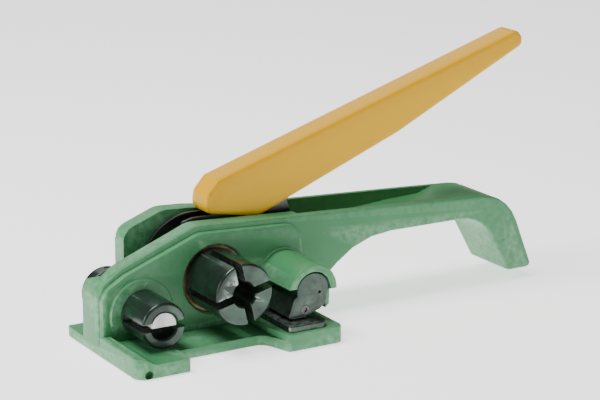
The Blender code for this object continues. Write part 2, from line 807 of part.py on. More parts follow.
def grip_screws(kind):
    """The grip's two screws, their clearance holes in the fork, or their threads in the grip."""
    roof = GRIP_ROOF
    foot = roof - 7.0
    made = []
    for along in (40.0, 55.0):
        if kind == "screw":
            profile = [
                (0.0, -3.0 + foot),
                (3.9, -3.0 + foot),
                (3.9, foot - SEAT),
                (2.0, foot - SEAT),
                (2.0, roof + 8.0),
                (0.0, roof + 8.0),
            ]
        if kind == "cut":
            profile = [(0.0, foot - 2.0), (2.3, foot - 2.0), (2.3, roof), (0.0, roof)]
        if kind == "tap":
            profile = [(0.0, roof - 2.0), (2.2, roof - 2.0), (2.2, roof + 8.6), (0.0, roof + 8.6)]
        mesh = turned_mesh(profile, (0.0, 0.0, 0.0), "Z", 24)
        mesh.transform(Matrix.Translation((along, 0.0, 0.0)))
        mesh.transform(Matrix.Rotation(radians(-LEVER_ANGLE), 4, "Y"))
        mesh.transform(Matrix.Translation((WINDLASS_X, GAP_MIDDLE, WINDLASS_Z)))
        made.append(mesh)
    return made


def coil(shop, name, centre, radius, wire, low, high, look):
    """A torsion spring wound along Y, as one closed wire."""
    turns = max(2, int((high - low - 2 * wire) / (2 * wire + SEAT)))
    rise = (high - low - 2 * wire) / turns
    curve = bpy.data.curves.new(name, "CURVE")
    curve.dimensions = "3D"
    curve.bevel_depth = wire * MM
    curve.bevel_resolution = 1
    curve.use_fill_caps = True
    line = curve.splines.new("POLY")
    count = turns * 16
    line.points.add(count)
    for index, point in enumerate(line.points):
        angle = 2 * pi * index / 16
        x = radius * cos(angle) * MM
        z = radius * sin(angle) * MM
        y = (wire + rise * index / 16 - (high - low) / 2) * MM
        point.co = (x, y, z, 1.0)
    spring = bpy.data.objects.new(name, curve)
    spring.location = (centre[0] * MM, (low + high) / 2 * MM, centre[1] * MM)
    curve.materials.append(look)
    shop.parts.objects.link(spring)
    return spring


def build_holding_pawl(shop, steel):
    pin = holding_pin()
    axis = (pin[0], 0.0, pin[1])
    ratchet_front = GAP_MIDDLE - RATCHET_WIDTH / 2
    ratchet_back = GAP_MIDDLE + RATCHET_WIDTH / 2
    pin_hole = HOLDING_PIN_RADIUS + RUNNING
    pawl = pawl_outline(pin, HOLDING_BOSS, HOLDING_NOSE_ANGLE + LEVER_ANGLE)
    shop.part(
        "holding_pawl",
        prism_mesh(pawl, ratchet_front, ratchet_back, "Y"),
        steel,
        [rod_mesh(pin_hole, axis, ratchet_front - 2.0, ratchet_back + 2.0, chamfer=0.0)],
        origin=axis,
    )
    rod = rod_mesh(HOLDING_PIN_RADIUS, axis, PIN_FRONT, PIN_BACK)
    shop.part("holding_pawl_pin", rod, steel, origin=axis)
    spacer = ring_mesh(pin_hole, 4.6, axis, WALL_BACK + SEAT, ratchet_front - SEAT)
    shop.part("holding_pawl_spacer", spacer, steel, origin=axis)
    coil(
        shop,
        "holding_pawl_spring",
        pin,
        HOLDING_PIN_RADIUS + 1.1,
        0.5,
        ratchet_back + SEAT,
        GAP_BACK - SEAT,
        steel,
    )
    stop = stop_pin()
    stop_rod = rod_mesh(HOLDING_PIN_RADIUS, stop, PIN_FRONT, PIN_BACK)
    shop.part("lever_stop_pin", stop_rod, steel, origin=stop)


def build_gripper(shop, steel, dark):
    axis = (GRIPPER_X, 0.0, GRIPPER_Z)
    face = -HOOD_REACH + 1.0
    back = -7.0
    anvil_top = RIGHT_PAD + RUNNING + ANVIL
    jaw_low = anvil_top + STRAP_GAP
    cheek_low = jaw_low + 1.2
    radius = HOOD_INNER - 0.6
    cam = arc((GRIPPER_X, GRIPPER_Z), radius, 0.0, 190.0)
    cam += [
        (GRIPPER_X - 12.9, GRIPPER_Z - 3.6),
        (GRIPPER_X - 14.9, GRIPPER_Z - 9.3),
        (GRIPPER_X - 16.2, cheek_low + 1.0),
        (GRIPPER_X - 15.4, cheek_low),
        (GRIPPER_X - 1.5, cheek_low),
        (GRIPPER_X + 0.5, GRIPPER_Z - 13.0),
        (GRIPPER_X + 4.6, GRIPPER_Z - 11.9),
        (GRIPPER_X + 8.6, GRIPPER_Z - 8.6),
    ]
    slot_left = GRIPPER_X - 14.0
    slot_right = GRIPPER_X - 3.0
    dowel = (GRIPPER_X - 5.4, 0.0, GRIPPER_Z - 10.9)
    jaw_top = cheek_low + 1.6
    dowel_hole = [
        (0.0, face - 2.0),
        (3.1, face - 2.0),
        (3.1, face + 1.2),
        (1.7, face + 1.2),
        (1.7, face + 9.0),
        (0.0, face + 9.0),
    ]
    shop.part(
        "gripper_cam",
        prism_mesh(cam, face, back, "Y", 0.6),
        dark,
        [
            rod_mesh(GRIPPER_PIN_RADIUS + RUNNING, axis, face + 3.0, back + 4.0, chamfer=0.0),
            box_mesh((slot_left, face + 1.5, cheek_low - 3.0), (slot_right, back - 1.5, jaw_top)),
            turned_mesh(dowel_hole, dowel, steps=24),
            rod_mesh(0.9, (GRIPPER_X + 4.3, 0.0, GRIPPER_Z - 1.4), face - 2.0, face + 2.0, chamfer=0.0, steps=24),
        ],
        origin=axis,
    )
    teeth = []
    count = 9
    pitch = (slot_right - slot_left - 2 * RUNNING) / count
    for tooth in range(count):
        x = slot_left + RUNNING + tooth * pitch
        teeth.append((x, jaw_low + 0.8))
        teeth.append((x + pitch * 0.8, jaw_low))
    teeth.append((slot_right - RUNNING, jaw_low + 0.8))
    teeth += [(slot_right - RUNNING, jaw_top - RUNNING), (slot_left + RUNNING, jaw_top - RUNNING)]
    jaw = prism_mesh(teeth, face + 1.6, back - 1.6, "Y")
    shop.part("gripper_jaw", jaw, steel, origin=axis, smooth=False)
    shop.part(
        "jaw_dowel",
        turned_mesh(
            [
                (0.0, face + 0.8),
                (1.4, face + 0.8),
                (1.4, face - 0.1),
                (3.0, face - 0.1),
                (3.0, face + 1.1),
                (1.6, face + 1.1),
                (1.6, face + 8.5),
                (0.0, face + 8.5),
            ],
            dowel,
            steps=24,
        ),
        steel,
        origin=axis,
    )
    shop.part("gripper_pin", rod_mesh(GRIPPER_PIN_RADIUS, axis, face + 3.4, 12.0), steel, origin=axis)
    spring = GRIPPER_PIN_RADIUS + 1.5
    coil(shop, "gripper_spring", (GRIPPER_X, GRIPPER_Z), spring, 0.6, back + SEAT, -0.5 - SEAT, steel)
    left = RIGHT - 35.2
    anvil = rounded(
        [
            (left, FRONT + 2.2, 1.5),
            (left + ANVIL_LENGTH, FRONT + 2.2, 5.0),
            (left + ANVIL_LENGTH, -1.8, 1.5),
            (left, -1.8, 1.5),
        ]
    )
    holes = []
    for x, y in anvil_screw_places():
        holes.append(rod_mesh(2.1, (x, y, 0.0), 0.0, RIGHT_PAD + 2.4, "Z", 0.0, 24))
    plate = prism_mesh(anvil, RIGHT_PAD + RUNNING, anvil_top, "Z", 0.3)
    shop.part("anvil_plate", plate, dark, holes)
    for number, (x, y) in enumerate(anvil_screw_places(), start=1):
        profile = [
            (0.0, 0.6),
            (3.9, 0.6),
            (3.9, 3.4),
            (2.0, 3.4),
            (2.0, RIGHT_PAD + 2.2),
            (0.0, RIGHT_PAD + 2.2),
        ]
        shop.part(f"anvil_screw_{number}", turned_mesh(profile, (x, y, 0.0), "Z", 24), steel)


def build_cutter(shop, steel, dark):
    axis = (CUTTER_X, 0.0, CUTTER_Z)
    hole = CORE_RADIUS + RUNNING
    sleeve_profile = [
        (hole, -SLEEVE_REACH + 0.8),
        (hole + 0.8, -SLEEVE_REACH),
        (SLEEVE_RADIUS - 1.6, -SLEEVE_REACH),
        (SLEEVE_RADIUS, -SLEEVE_REACH + 1.6),
        (SLEEVE_RADIUS, -1.2 - SEAT),
        (SPIGOT_RADIUS, -1.2 - SEAT),
        (SPIGOT_RADIUS, SPIGOT_END),
        (hole, SPIGOT_END),
        (hole, -SLEEVE_REACH + 0.8),
    ]
    slot = box_mesh(
        (CUTTER_X - SLEEVE_RADIUS - 3.0, -SLEEVE_REACH - 3.0, CUTTER_Z - SLEEVE_SLOT / 2),
        (CUTTER_X + SLEEVE_RADIUS + 3.0, -3.4, CUTTER_Z + SLEEVE_SLOT / 2),
    )
    screw_y = 6.0
    screw = (CUTTER_X, screw_y, 0.0)
    screw_top = CUTTER_Z - SPIGOT_RADIUS
    shop.part("cutter_sleeve", turned_mesh(sleeve_profile, axis), dark, [slot], origin=axis)
    shop.combine(
        bpy.data.objects["body_casting"],
        rod_mesh(2.6, screw, -2.0, screw_top + 1.0, "Z", 0.0, 24),
        "DIFFERENCE",
    )
    shop.part(
        "sleeve_set_screw",
        rod_mesh(2.4, screw, 1.5, screw_top - 0.2, "Z", 0.4, 24),
        steel,
        [rod_mesh(1.2, screw, 0.0, 4.0, "Z", 0.0, 6)],
    )
    hub_front = BACK + 3.5 - HUB_WIDTH
    core_end = BACK + 1.6
    flat = box_mesh(
        (CUTTER_X - CORE_RADIUS - 2.0, -SLEEVE_REACH - 2.0, CUTTER_Z - CORE_RADIUS - 2.0),
        (CUTTER_X + CORE_RADIUS + 2.0, -3.8, CUTTER_Z - 0.6),
    )
    neck = 5.0
    core_profile = [
        (0.0, -SLEEVE_REACH + 0.5),
        (CORE_RADIUS - 0.4, -SLEEVE_REACH + 0.5),
        (CORE_RADIUS, -SLEEVE_REACH + 0.9),
        (CORE_RADIUS, NOSE_BACK),
        (neck, NOSE_BACK),
        (neck, core_end),
        (0.0, core_end),
    ]
    pin_y = hub_front + HUB_WIDTH / 2
    pin_place = (CUTTER_X, pin_y, CUTTER_Z)
    shop.part(
        "cutter_core",
        turned_mesh(core_profile, axis),
        steel,
        [flat, rod_mesh(1.6, pin_place, -9.0, 9.0, "Z", 0.0, 24)],
        origin=axis,
    )
    arm_low = NOSE_BACK + SEAT
    arm = [
        *arc((CUTTER_X, CUTTER_Z), 8.0, 150.0, 390.0, 15.0),
        (CUTTER_X + 3.6, CUTTER_Z + 13.2),
        (CUTTER_X - 1.2, CUTTER_Z + 13.6),
    ]
    shop.part(
        "cutter_trip_arm",
        prism_mesh(arm, arm_low, arm_low + 4.0, "Y"),
        steel,
        [rod_mesh(neck + RUNNING, axis, arm_low - 3.0, arm_low + 7.0, chamfer=0.0)],
        origin=axis,
    )
    spring_low = arm_low + 4.0 + SEAT
    spring_high = hub_front - SEAT
    coil(shop, "cutter_spring", (CUTTER_X, CUTTER_Z), neck + 1.6, 0.7, spring_low, spring_high, steel)
    hub_profile = [
        (neck + RUNNING, hub_front),
        (HUB_RADIUS - 1.5, hub_front),
        (HUB_RADIUS, hub_front + 1.5),
        (HUB_RADIUS, hub_front + HUB_WIDTH - 1.5),
        (HUB_RADIUS - 1.5, hub_front + HUB_WIDTH),
        (neck + RUNNING, hub_front + HUB_WIDTH),
        (neck + RUNNING, hub_front),
    ]
    shop.part(
        "cutter_hub",
        turned_mesh(hub_profile, axis),
        dark,
        [rod_mesh(1.6, pin_place, -HUB_RADIUS - 3.0, HUB_RADIUS + 3.0, "Z", 0.0, 24)],
        origin=axis,
    )
    roll = rod_mesh(1.5, pin_place, -HUB_RADIUS + 0.6, HUB_RADIUS - 0.6, "Z", 0.3, 24)
    shop.part("hub_roll_pin", roll, steel, origin=axis)


def main():
    clear_scene()
    shop = Workshop()
    steel = material("bare_steel", (0.45, 0.46, 0.46), 1.0, 0.35)
    dark = material("blackened_steel", (0.035, 0.045, 0.04), 0.8, 0.35)
    yellow = material("yellow_enamel", (0.93, 0.47, 0.01), 0.0, 0.35)
    build_casting(shop)
    build_windlass(shop, steel, dark)
    build_lever(shop, steel, yellow)
    build_holding_pawl(shop, steel)
    build_gripper(shop, steel, dark)
    build_cutter(shop, steel, dark)


main()
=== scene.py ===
"""Looks of a hand windlass strapping tensioner: enamelled casting and grip, blackened and bare steel.

Every shape is placed from the frame's own boxes. Lengths inside the classes are in millimetres.
"""

import logging
from dataclasses import dataclass, field
from enum import Enum
from math import cos, pi, radians, sin

import bmesh
import bpy
from mathutils import Matrix, Vector


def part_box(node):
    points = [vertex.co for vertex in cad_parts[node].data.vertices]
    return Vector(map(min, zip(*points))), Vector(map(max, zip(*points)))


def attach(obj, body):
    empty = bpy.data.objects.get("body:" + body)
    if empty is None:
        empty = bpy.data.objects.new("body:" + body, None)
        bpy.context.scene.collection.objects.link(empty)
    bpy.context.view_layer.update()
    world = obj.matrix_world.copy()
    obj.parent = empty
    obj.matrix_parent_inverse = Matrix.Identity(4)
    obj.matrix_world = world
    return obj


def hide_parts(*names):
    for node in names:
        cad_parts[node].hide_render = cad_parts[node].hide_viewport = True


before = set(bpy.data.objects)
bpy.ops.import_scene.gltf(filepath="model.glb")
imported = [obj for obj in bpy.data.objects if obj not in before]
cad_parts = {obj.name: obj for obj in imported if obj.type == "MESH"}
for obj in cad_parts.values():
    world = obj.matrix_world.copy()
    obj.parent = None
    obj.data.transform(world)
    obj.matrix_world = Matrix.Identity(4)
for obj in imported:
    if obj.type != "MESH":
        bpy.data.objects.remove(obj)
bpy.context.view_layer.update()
LOG = logging.getLogger("tensioner")
MM = 0.001
POLE_MERGE = 0.002
MESH_MERGE = 0.00001
WIRE_MERGE = 0.0000005
FLAT_ANGLE = radians(0.6)

Point = tuple[float, float]
Place = tuple[float, float, float]
Colour = tuple[float, float, float]


class Body(str, Enum):
    """The moving bodies of the frame."""

    TOOL = "tool_body"
    WINDLASS = "windlass"
    LEVER = "lever"
    DRIVE_PAWL = "drive_pawl"
    HOLDING_PAWL = "holding_pawl"
    GRIPPER = "gripper"
    CUTTER = "cutter"


class Slot(str, Enum):
    """The record's material slots."""

    CASTING = "green_casting"
    BLACK = "blackened_steel"
    STEEL = "bare_steel"
    ENAMEL = "yellow_enamel"
    BRONZE = "bronze"


# Shader nodes written as expressions


class Socket:
    """One output socket of a shader tree, with the arithmetic that the finishes use."""

    def __init__(self, tree: "Shader", link: bpy.types.NodeSocket) -> None:
        """Wraps a socket.

        Args:
            tree: the shader that the socket belongs to.
            link: the socket itself.
        """
        self.tree = tree
        self.link = link

    def _maths(self, operation: str, *values: "Socket | float") -> "Socket":
        """A Math node on the values given."""
        return self.tree.node("ShaderNodeMath", {"operation": operation}, dict(enumerate(values)))

    def __add__(self, other: "Socket | float") -> "Socket":
        """Sum."""
        return self._maths("ADD", self, other)

    def __radd__(self, other: float) -> "Socket":
        """Sum with a number first."""
        return self._maths("ADD", other, self)

    def __sub__(self, other: "Socket | float") -> "Socket":
        """Difference."""
        return self._maths("SUBTRACT", self, other)

    def __rsub__(self, other: float) -> "Socket":
        """Difference from a number, as in 1 - mask."""
        return self._maths("SUBTRACT", other, self)

    def __mul__(self, other: "Socket | float") -> "Socket":
        """Product."""
        return self._maths("MULTIPLY", self, other)

    def __rmul__(self, other: float) -> "Socket":
        """Product with a number first."""
        return self._maths("MULTIPLY", other, self)

    def between(self, low: float, high: float) -> "Socket":
        """The value as a share of the way from low to high, kept within 0 and 1.

        Args:
            low: the value that becomes 0.
            high: the value that becomes 1.

        Returns:
            The remapped socket.
        """
        values = {"Value": self, "From Min": low, "From Max": high, "To Min": 0.0, "To Max": 1.0}
        return self.tree.node("ShaderNodeMapRange", {"clamp": True}, values)


class Shader:
    """A material with a Principled shader, built with expressions."""

    def __init__(self, name: str) -> None:
        """Starts the material.

        Args:
            name: the finish's name.
        """
        self.material = bpy.data.materials.new(name)
        self.material.use_nodes = True
        self.nodes = self.material.node_tree.nodes
        self.links = self.material.node_tree.links
        self.principled = self.nodes["Principled BSDF"]
        self.place = self.node("ShaderNodeTexCoord", {}, {}, "Object")

    def node(
        self,
        kind: str,
        settings: dict[str, object],
        values: dict[str | int, object],
        output: str | int = 0,
    ) -> Socket:
        """Makes any shader node.

        Args:
            kind: the node's type name.
            settings: attributes that are set first.
            values: socket values, or sockets to link, by name or number.
            output: the output that is wanted.

        Returns:
            That output as a socket.
        """
        made = self.nodes.new(kind)
        for key, value in settings.items():
            setattr(made, key, value)
        for key, value in values.items():
            if isinstance(value, Socket):
                self.links.new(value.link, made.inputs[key])
            else:
                made.inputs[key].default_value = value
        return Socket(self, made.outputs[output])

    def noise(self, scale: float, detail: float = 3.0, stretch: Place = (1.0, 1.0, 1.0)) -> Socket:
        """Noise on the piece's own coordinates.

        Args:
            scale: features a metre.
            detail: octaves.
            stretch: how much each axis is squeezed.

        Returns:
            The noise, about 0.5 in the middle.
        """
        spot = self.node("ShaderNodeVectorMath", {"operation": "MULTIPLY"}, {0: self.place, 1: stretch})
        values = {"Vector": spot, "Scale": scale, "Detail": detail, "Roughness": 0.6}
        return self.node("ShaderNodeTexNoise", {}, values, "Fac")

    def edges(self) -> Socket:
        """How far the surface stands out, 0.5 where it is flat and more along an edge."""
        return self.node("ShaderNodeNewGeometry", {}, {}, "Pointiness")

    def blend(self, share: Socket | float, first: object, second: object) -> Socket:
        """Mixes two colours.

        Args:
            share: 0 for the first, 1 for the second.
            first: a colour or a socket.
            second: a colour or a socket.

        Returns:
            The mixed colour.
        """
        made = self.nodes.new("ShaderNodeMix")
        made.data_type = "RGBA"
        for socket, value in ((made.inputs[0], share), (made.inputs[6], first), (made.inputs[7], second)):
            if isinstance(value, Socket):
                self.links.new(value.link, socket)
            elif isinstance(value, tuple):
                socket.default_value = (*value, 1.0)
            else:
                socket.default_value = value
        return Socket(self, made.outputs[2])

    def bump(self, height: Socket, strength: float, distance: float) -> Socket:
        """A normal that follows a height.

        Args:
            height: the relief, 0 to 1.
            strength: 0 to 1.
            distance: how deep the relief is, in metres.

        Returns:
            The normal.
        """
        values = {"Height": height, "Strength": strength, "Distance": distance}
        return self.node("ShaderNodeBump", {}, values)

    def dress(self, **values: object) -> bpy.types.Material:
        """Sets the Principled shader's sockets.

        Args:
            values: values or sockets, by socket name with _ for a space.

        Returns:
            The finished material.
        """
        for key, value in values.items():
            socket = self.principled.inputs[key.replace("_", " ")]
            if isinstance(value, Socket):
                self.links.new(value.link, socket)
            elif isinstance(value, tuple):
                socket.default_value = (*value, 1.0)
            else:
                socket.default_value = value
        return self.material


@dataclass(frozen=True)
class CastEnamel:
    """Satin enamel over a cast surface, thinner and paler along the edges."""

    name: str = "green_cast_enamel"
    colour: Colour = (0.072, 0.27, 0.115)
    pale: Colour = (0.3, 0.56, 0.36)
    deep: Colour = (0.056, 0.235, 0.095)
    grain: float = 900.0

    def material(self) -> bpy.types.Material:
        """The enamel with its cloudy tone, fine cast grain and worn edges."""
        shader = Shader(self.name)
        cloud = shader.noise(26.0).between(0.35, 0.68)
        grain = shader.noise(self.grain, 4.0)
        swell = shader.noise(95.0, 2.0)
        worn = shader.edges().between(0.515, 0.58) * shader.noise(240.0).between(0.3, 0.62)
        base = shader.blend(cloud, self.deep, self.colour)
        speck = shader.noise(2600.0, 1.0).between(0.7, 0.8) * 0.25
        base = shader.blend(speck, base, self.deep)
        relief = grain * 0.35 + swell * 0.65
        return shader.dress(
            Base_Color=shader.blend(worn * 0.4, base, self.pale),
            Roughness=0.3 + grain * 0.12 + cloud * 0.05,
            Normal=shader.bump(relief, 0.32, 0.0007),
            Coat_Weight=0.06 + cloud * 0.1,
            Coat_Roughness=0.2,
            Specular_IOR_Level=0.22,
        )


@dataclass(frozen=True)
class GripEnamel:
    """Thick glossy enamel with a slight orange peel."""

    name: str = "yellow_grip_enamel"
    colour: Colour = (0.72, 0.36, 0.0)
    deep: Colour = (0.68, 0.33, 0.0)
    pale: Colour = (0.85, 0.52, 0.01)

    def material(self) -> bpy.types.Material:
        """The enamel with a faint cloud, peel and thin edges."""
        shader = Shader(self.name)
        cloud = shader.noise(18.0).between(0.3, 0.7)
        peel = shader.noise(420.0, 2.0)
        thin = shader.edges().between(0.51, 0.56)
        base = shader.blend(cloud, self.deep, self.colour)
        return shader.dress(
            Base_Color=shader.blend(thin * 0.5, base, self.pale),
            Roughness=0.24 + peel * 0.1,
            Normal=shader.bump(peel, 0.16, 0.0004),
            Coat_Weight=0.05 + cloud * 0.08,
            Coat_Roughness=0.12,
            Specular_IOR_Level=0.14,
        )


@dataclass(frozen=True)
class BlackenedSteel:
    """Oiled black steel, turned or milled, rubbed bright along its edges, tinted green with a painted
    reflection of the green casting.
    """

    name: str
    lay: Place = (1.0, 14.0, 1.0)
    # colour and oil both lean green: a painted reflection of the green casting on the dark steel
    colour: Colour = (0.02, 0.034, 0.026)
    oil: Colour = (0.035, 0.075, 0.05)
    rubbed: Colour = (0.32, 0.36, 0.33)

    def material(self) -> bpy.types.Material:
        """The blackened surface with its tool lay, rubbed edges and painted green reflection."""
        shader = Shader(self.name)
        lay = shader.noise(420.0, 3.0, self.lay)
        oil_smear_and_reflection = shader.noise(60.0, 3.0).between(0.4, 0.66)
        rub = shader.edges().between(0.53, 0.64) * shader.noise(310.0).between(0.36, 0.6)
        # Where the mask is high the colour turns greener as a painted reflection of the casting; the same
        # mask's lower roughness and thicker coat are the oil
        base = shader.blend(oil_smear_and_reflection, self.colour, self.oil)
        return shader.dress(
            Base_Color=shader.blend(rub, base, self.rubbed),
            Metallic=0.72,
            Roughness=0.26 + lay * 0.14 - oil_smear_and_reflection * 0.06,
            Normal=shader.bump(lay, 0.22, 0.0002),
            Coat_Weight=0.3 + oil_smear_and_reflection * 0.3,
            Coat_Roughness=0.12,
        )


@dataclass(frozen=True)
class BareSteel:
    """Bare steel with the marks of its machining."""

    name: str
    lay: Place = (1.0, 10.0, 1.0)
    colour: Colour = (0.46, 0.47, 0.47)
    stain: Colour = (0.27, 0.26, 0.24)
    roughness: float = 0.24

    def material(self) -> bpy.types.Material:
        """The steel with its lay and light staining."""
        shader = Shader(self.name)
        lay = shader.noise(520.0, 3.0, self.lay)
        stain = shader.noise(75.0, 4.0).between(0.5, 0.72)
        base = shader.blend(stain * 0.7, self.colour, self.stain)
        return shader.dress(
            Base_Color=base,
            Metallic=1.0,
            Roughness=self.roughness + lay * 0.16 + stain * 0.12,
            Normal=shader.bump(lay, 0.25, 0.0002),
        )


@dataclass(frozen=True)
class Bronze:
    """Turned bronze, darkened by oil."""

    name: str = "oiled_bronze"
    colour: Colour = (0.13, 0.1, 0.055)
    oil: Colour = (0.045, 0.035, 0.022)

    def material(self) -> bpy.types.Material:
        """The bronze with its turning marks and oil."""
        shader = Shader(self.name)
        lay = shader.noise(480.0, 3.0, (1.0, 12.0, 1.0))
        oil = shader.noise(70.0, 3.0).between(0.42, 0.62)
        return shader.dress(
            Base_Color=shader.blend(oil, self.colour, self.oil),
            Metallic=1.0,
            Roughness=0.28 + lay * 0.16,
            Normal=shader.bump(lay, 0.2, 0.0002),
        )


def black_turned() -> bpy.types.Material:
    """Blackened steel with its lay round the axis."""
    return BlackenedSteel("black_turned_steel").material()


def black_milled() -> bpy.types.Material:
    """Blackened steel with its lay along the tool."""
    return BlackenedSteel("black_milled_steel", lay=(10.0, 1.0, 1.0)).material()


def dark_plate() -> bpy.types.Material:
    """Dark rolled plate, oiled."""
    return BareSteel("dark_fork_plate", colour=(0.1, 0.105, 0.1), stain=(0.05, 0.05, 0.045)).material()


def spring_wire() -> bpy.types.Material:
    """Drawn wire, with no lay."""
    return BareSteel("spring_wire", lay=(1.0, 1.0, 1.0), colour=(0.3, 0.3, 0.29)).material()


@dataclass
class Finishes:
    """Every finish of the tool, made once."""

    casting: bpy.types.Material = field(default_factory=lambda: CastEnamel().material())
    grip: bpy.types.Material = field(default_factory=lambda: GripEnamel().material())
    drum: bpy.types.Material = field(default_factory=black_turned)
    milled: bpy.types.Material = field(default_factory=black_milled)
    plate: bpy.types.Material = field(default_factory=dark_plate)
    steel: bpy.types.Material = field(default_factory=lambda: BareSteel("machined_steel").material())
    wire: bpy.types.Material = field(default_factory=spring_wire)
    bronze: bpy.types.Material = field(default_factory=lambda: Bronze().material())


# Mesh helpers


def low_of(node: str) -> Vector:
    """A node's lowest corner, in millimetres."""
    return Vector(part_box(node)[0]) / MM


def high_of(node: str) -> Vector:
    """A node's highest corner, in millimetres."""
    return Vector(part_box(node)[1]) / MM


def new_object(name: str, mesh: bpy.types.Mesh) -> bpy.types.Object:
    """Links a mesh as an object at the origin."""
    made = bpy.data.objects.new(name, mesh)
    bpy.context.scene.collection.objects.link(made)
    return made


def turned(profile: list[Point], centre: Vector | Place, steps: int = 128) -> bpy.types.Mesh:
    """Turns a profile about an axis along Y.

    Args:
        profile: (radius, distance along Y) corners of a closed or axis-to-axis line, in millimetres.
        centre: a point of the axis; its Y is added to the distances.
        steps: segments in a turn.

    Returns:
        The closed mesh, in metres.
    """
    mesh = bpy.data.meshes.new("turned")
    work = bmesh.new()
    corners = [work.verts.new((radius, reach, 0.0)) for radius, reach in profile]
    edges = [work.edges.new(pair) for pair in zip(corners, corners[1:])]
    bmesh.ops.spin(
        work,
        geom=[*corners, *edges],
        cent=(0, 0, 0),
        axis=(0, 1, 0),
        angle=2 * pi,
        steps=steps,
        use_merge=True,
    )
    bmesh.ops.remove_doubles(work, verts=work.verts, dist=POLE_MERGE)
    bmesh.ops.recalc_face_normals(work, faces=work.faces)
    work.transform(Matrix.Scale(MM, 4) @ Matrix.Translation(centre))
    work.to_mesh(mesh)
    work.free()
    return mesh


def arc(centre: Point, radius: float, first: float, last: float, step: float = 3.0) -> list[Point]:
    """Points along an arc.

    Args:
        centre: the arc's centre.
        radius: its radius.
        first: the first angle, in degrees.
        last: the last angle, in degrees.
        step: the widest step, in degrees.

    Returns:
        The points, ends included.
    """
    count = max(2, round(abs(last - first) / step))
    turns = [radians(first + (last - first) * index / count) for index in range(count + 1)]
    return [(centre[0] + radius * cos(turn), centre[1] + radius * sin(turn)) for turn in turns]


def block(low: Place, high: Place, turn: Matrix | None = None) -> bpy.types.Mesh:
    """A plain box for cutting, put in place by a transform.

    Args:
        low: lowest corner, in millimetres.
        high: highest corner.
        turn: a transform put on in millimetres.

    Returns:
        The mesh, in metres.
    """
    mesh = bpy.data.meshes.new("block")
    work = bmesh.new()
    bmesh.ops.create_cube(work, size=1.0)
    size = Vector(high) - Vector(low)
    middle = (Vector(high) + Vector(low)) / 2
    work.transform(Matrix.Translation(middle) @ Matrix.Diagonal((*size, 1.0)))
    work.transform(Matrix.Scale(MM, 4) @ (turn or Matrix.Identity(4)))
    work.to_mesh(mesh)
    work.free()
    return mesh


def baked(thing: bpy.types.Object) -> bpy.types.Object:
    """Turns an object's modifiers into plain mesh and removes them."""
    mesh = bpy.data.meshes.new_from_object(thing.evaluated_get(bpy.context.evaluated_depsgraph_get()))
    thing.modifiers.clear()
    thing.data = mesh
    return thing


def cut(thing: bpy.types.Object, tools: list[bpy.types.Mesh]) -> None:
    """Cuts a piece with closed meshes.

    Args:
        thing: the piece.
        tools: the meshes, which are used up.
    """
    for mesh in tools:
        tool = new_object("tool", mesh)
        step = thing.modifiers.new("cut", "BOOLEAN")
        step.operation = "DIFFERENCE"
        step.solver = "EXACT"
        step.object = tool
        baked(thing)
        bpy.data.objects.remove(tool)


def softened(
    thing: bpy.types.Object, width: float, angle: float = 32.0, segments: int = 2
) -> bpy.types.Object:
    """Breaks the sharp edges of a piece, and smooths what lies between them.

    Args:
        thing: the piece.
        width: the edge radius, in millimetres.
        angle: edges sharper than this are broken, in degrees.
        segments: faces across an edge.

    Returns:
        The same piece.
    """
    work = bmesh.new()
    work.from_mesh(thing.data)
    bmesh.ops.remove_doubles(work, verts=work.verts, dist=MESH_MERGE)
    bmesh.ops.dissolve_limit(work, angle_limit=FLAT_ANGLE, verts=work.verts, edges=work.edges)
    work.to_mesh(thing.data)
    work.free()
    bevel = thing.modifiers.new("edge", "BEVEL")
    bevel.width = width * MM
    bevel.segments = segments
    bevel.limit_method = "ANGLE"
    bevel.angle_limit = radians(angle)
    bevel.use_clamp_overlap = True
    bevel.miter_outer = "MITER_ARC"
    baked(thing)
    thing.data.shade_smooth()
    thing.data.set_sharp_from_angle(angle=radians(angle))
    level = thing.modifiers.new("level", "WEIGHTED_NORMAL")
    level.keep_sharp = True
    return baked(thing)


def finish_piece(
    thing: bpy.types.Object, body: Body, look: bpy.types.Material, nodes: tuple[str, ...] = ()
) -> None:
    """Dresses a piece, rides it on its body and reports it.

    Args:
        thing: the piece.
        body: the body that it moves with.
        look: its finish.
        nodes: the nodes that it stands for.
    """
    thing.data.materials.clear()
    thing.data.materials.append(look)
    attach(thing, body.value)
    if nodes:
        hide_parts(*nodes)
    LOG.info("%s rides on %s with %d faces", thing.name, body.value, len(thing.data.polygons))


def copy_of(node: str, name: str) -> bpy.types.Object:
    """A copy of a node's mesh as a piece of its own; softened merges its loose triangles."""
    return new_object(name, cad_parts[node].data.copy())


def dress_node(node: str, look: bpy.types.Material) -> None:
    """Gives a frame node its finish."""
    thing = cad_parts[node]
    thing.data.materials.clear()
    thing.data.materials.append(look)
    LOG.info("%s keeps its frame shape", node)


# Geometry Nodes


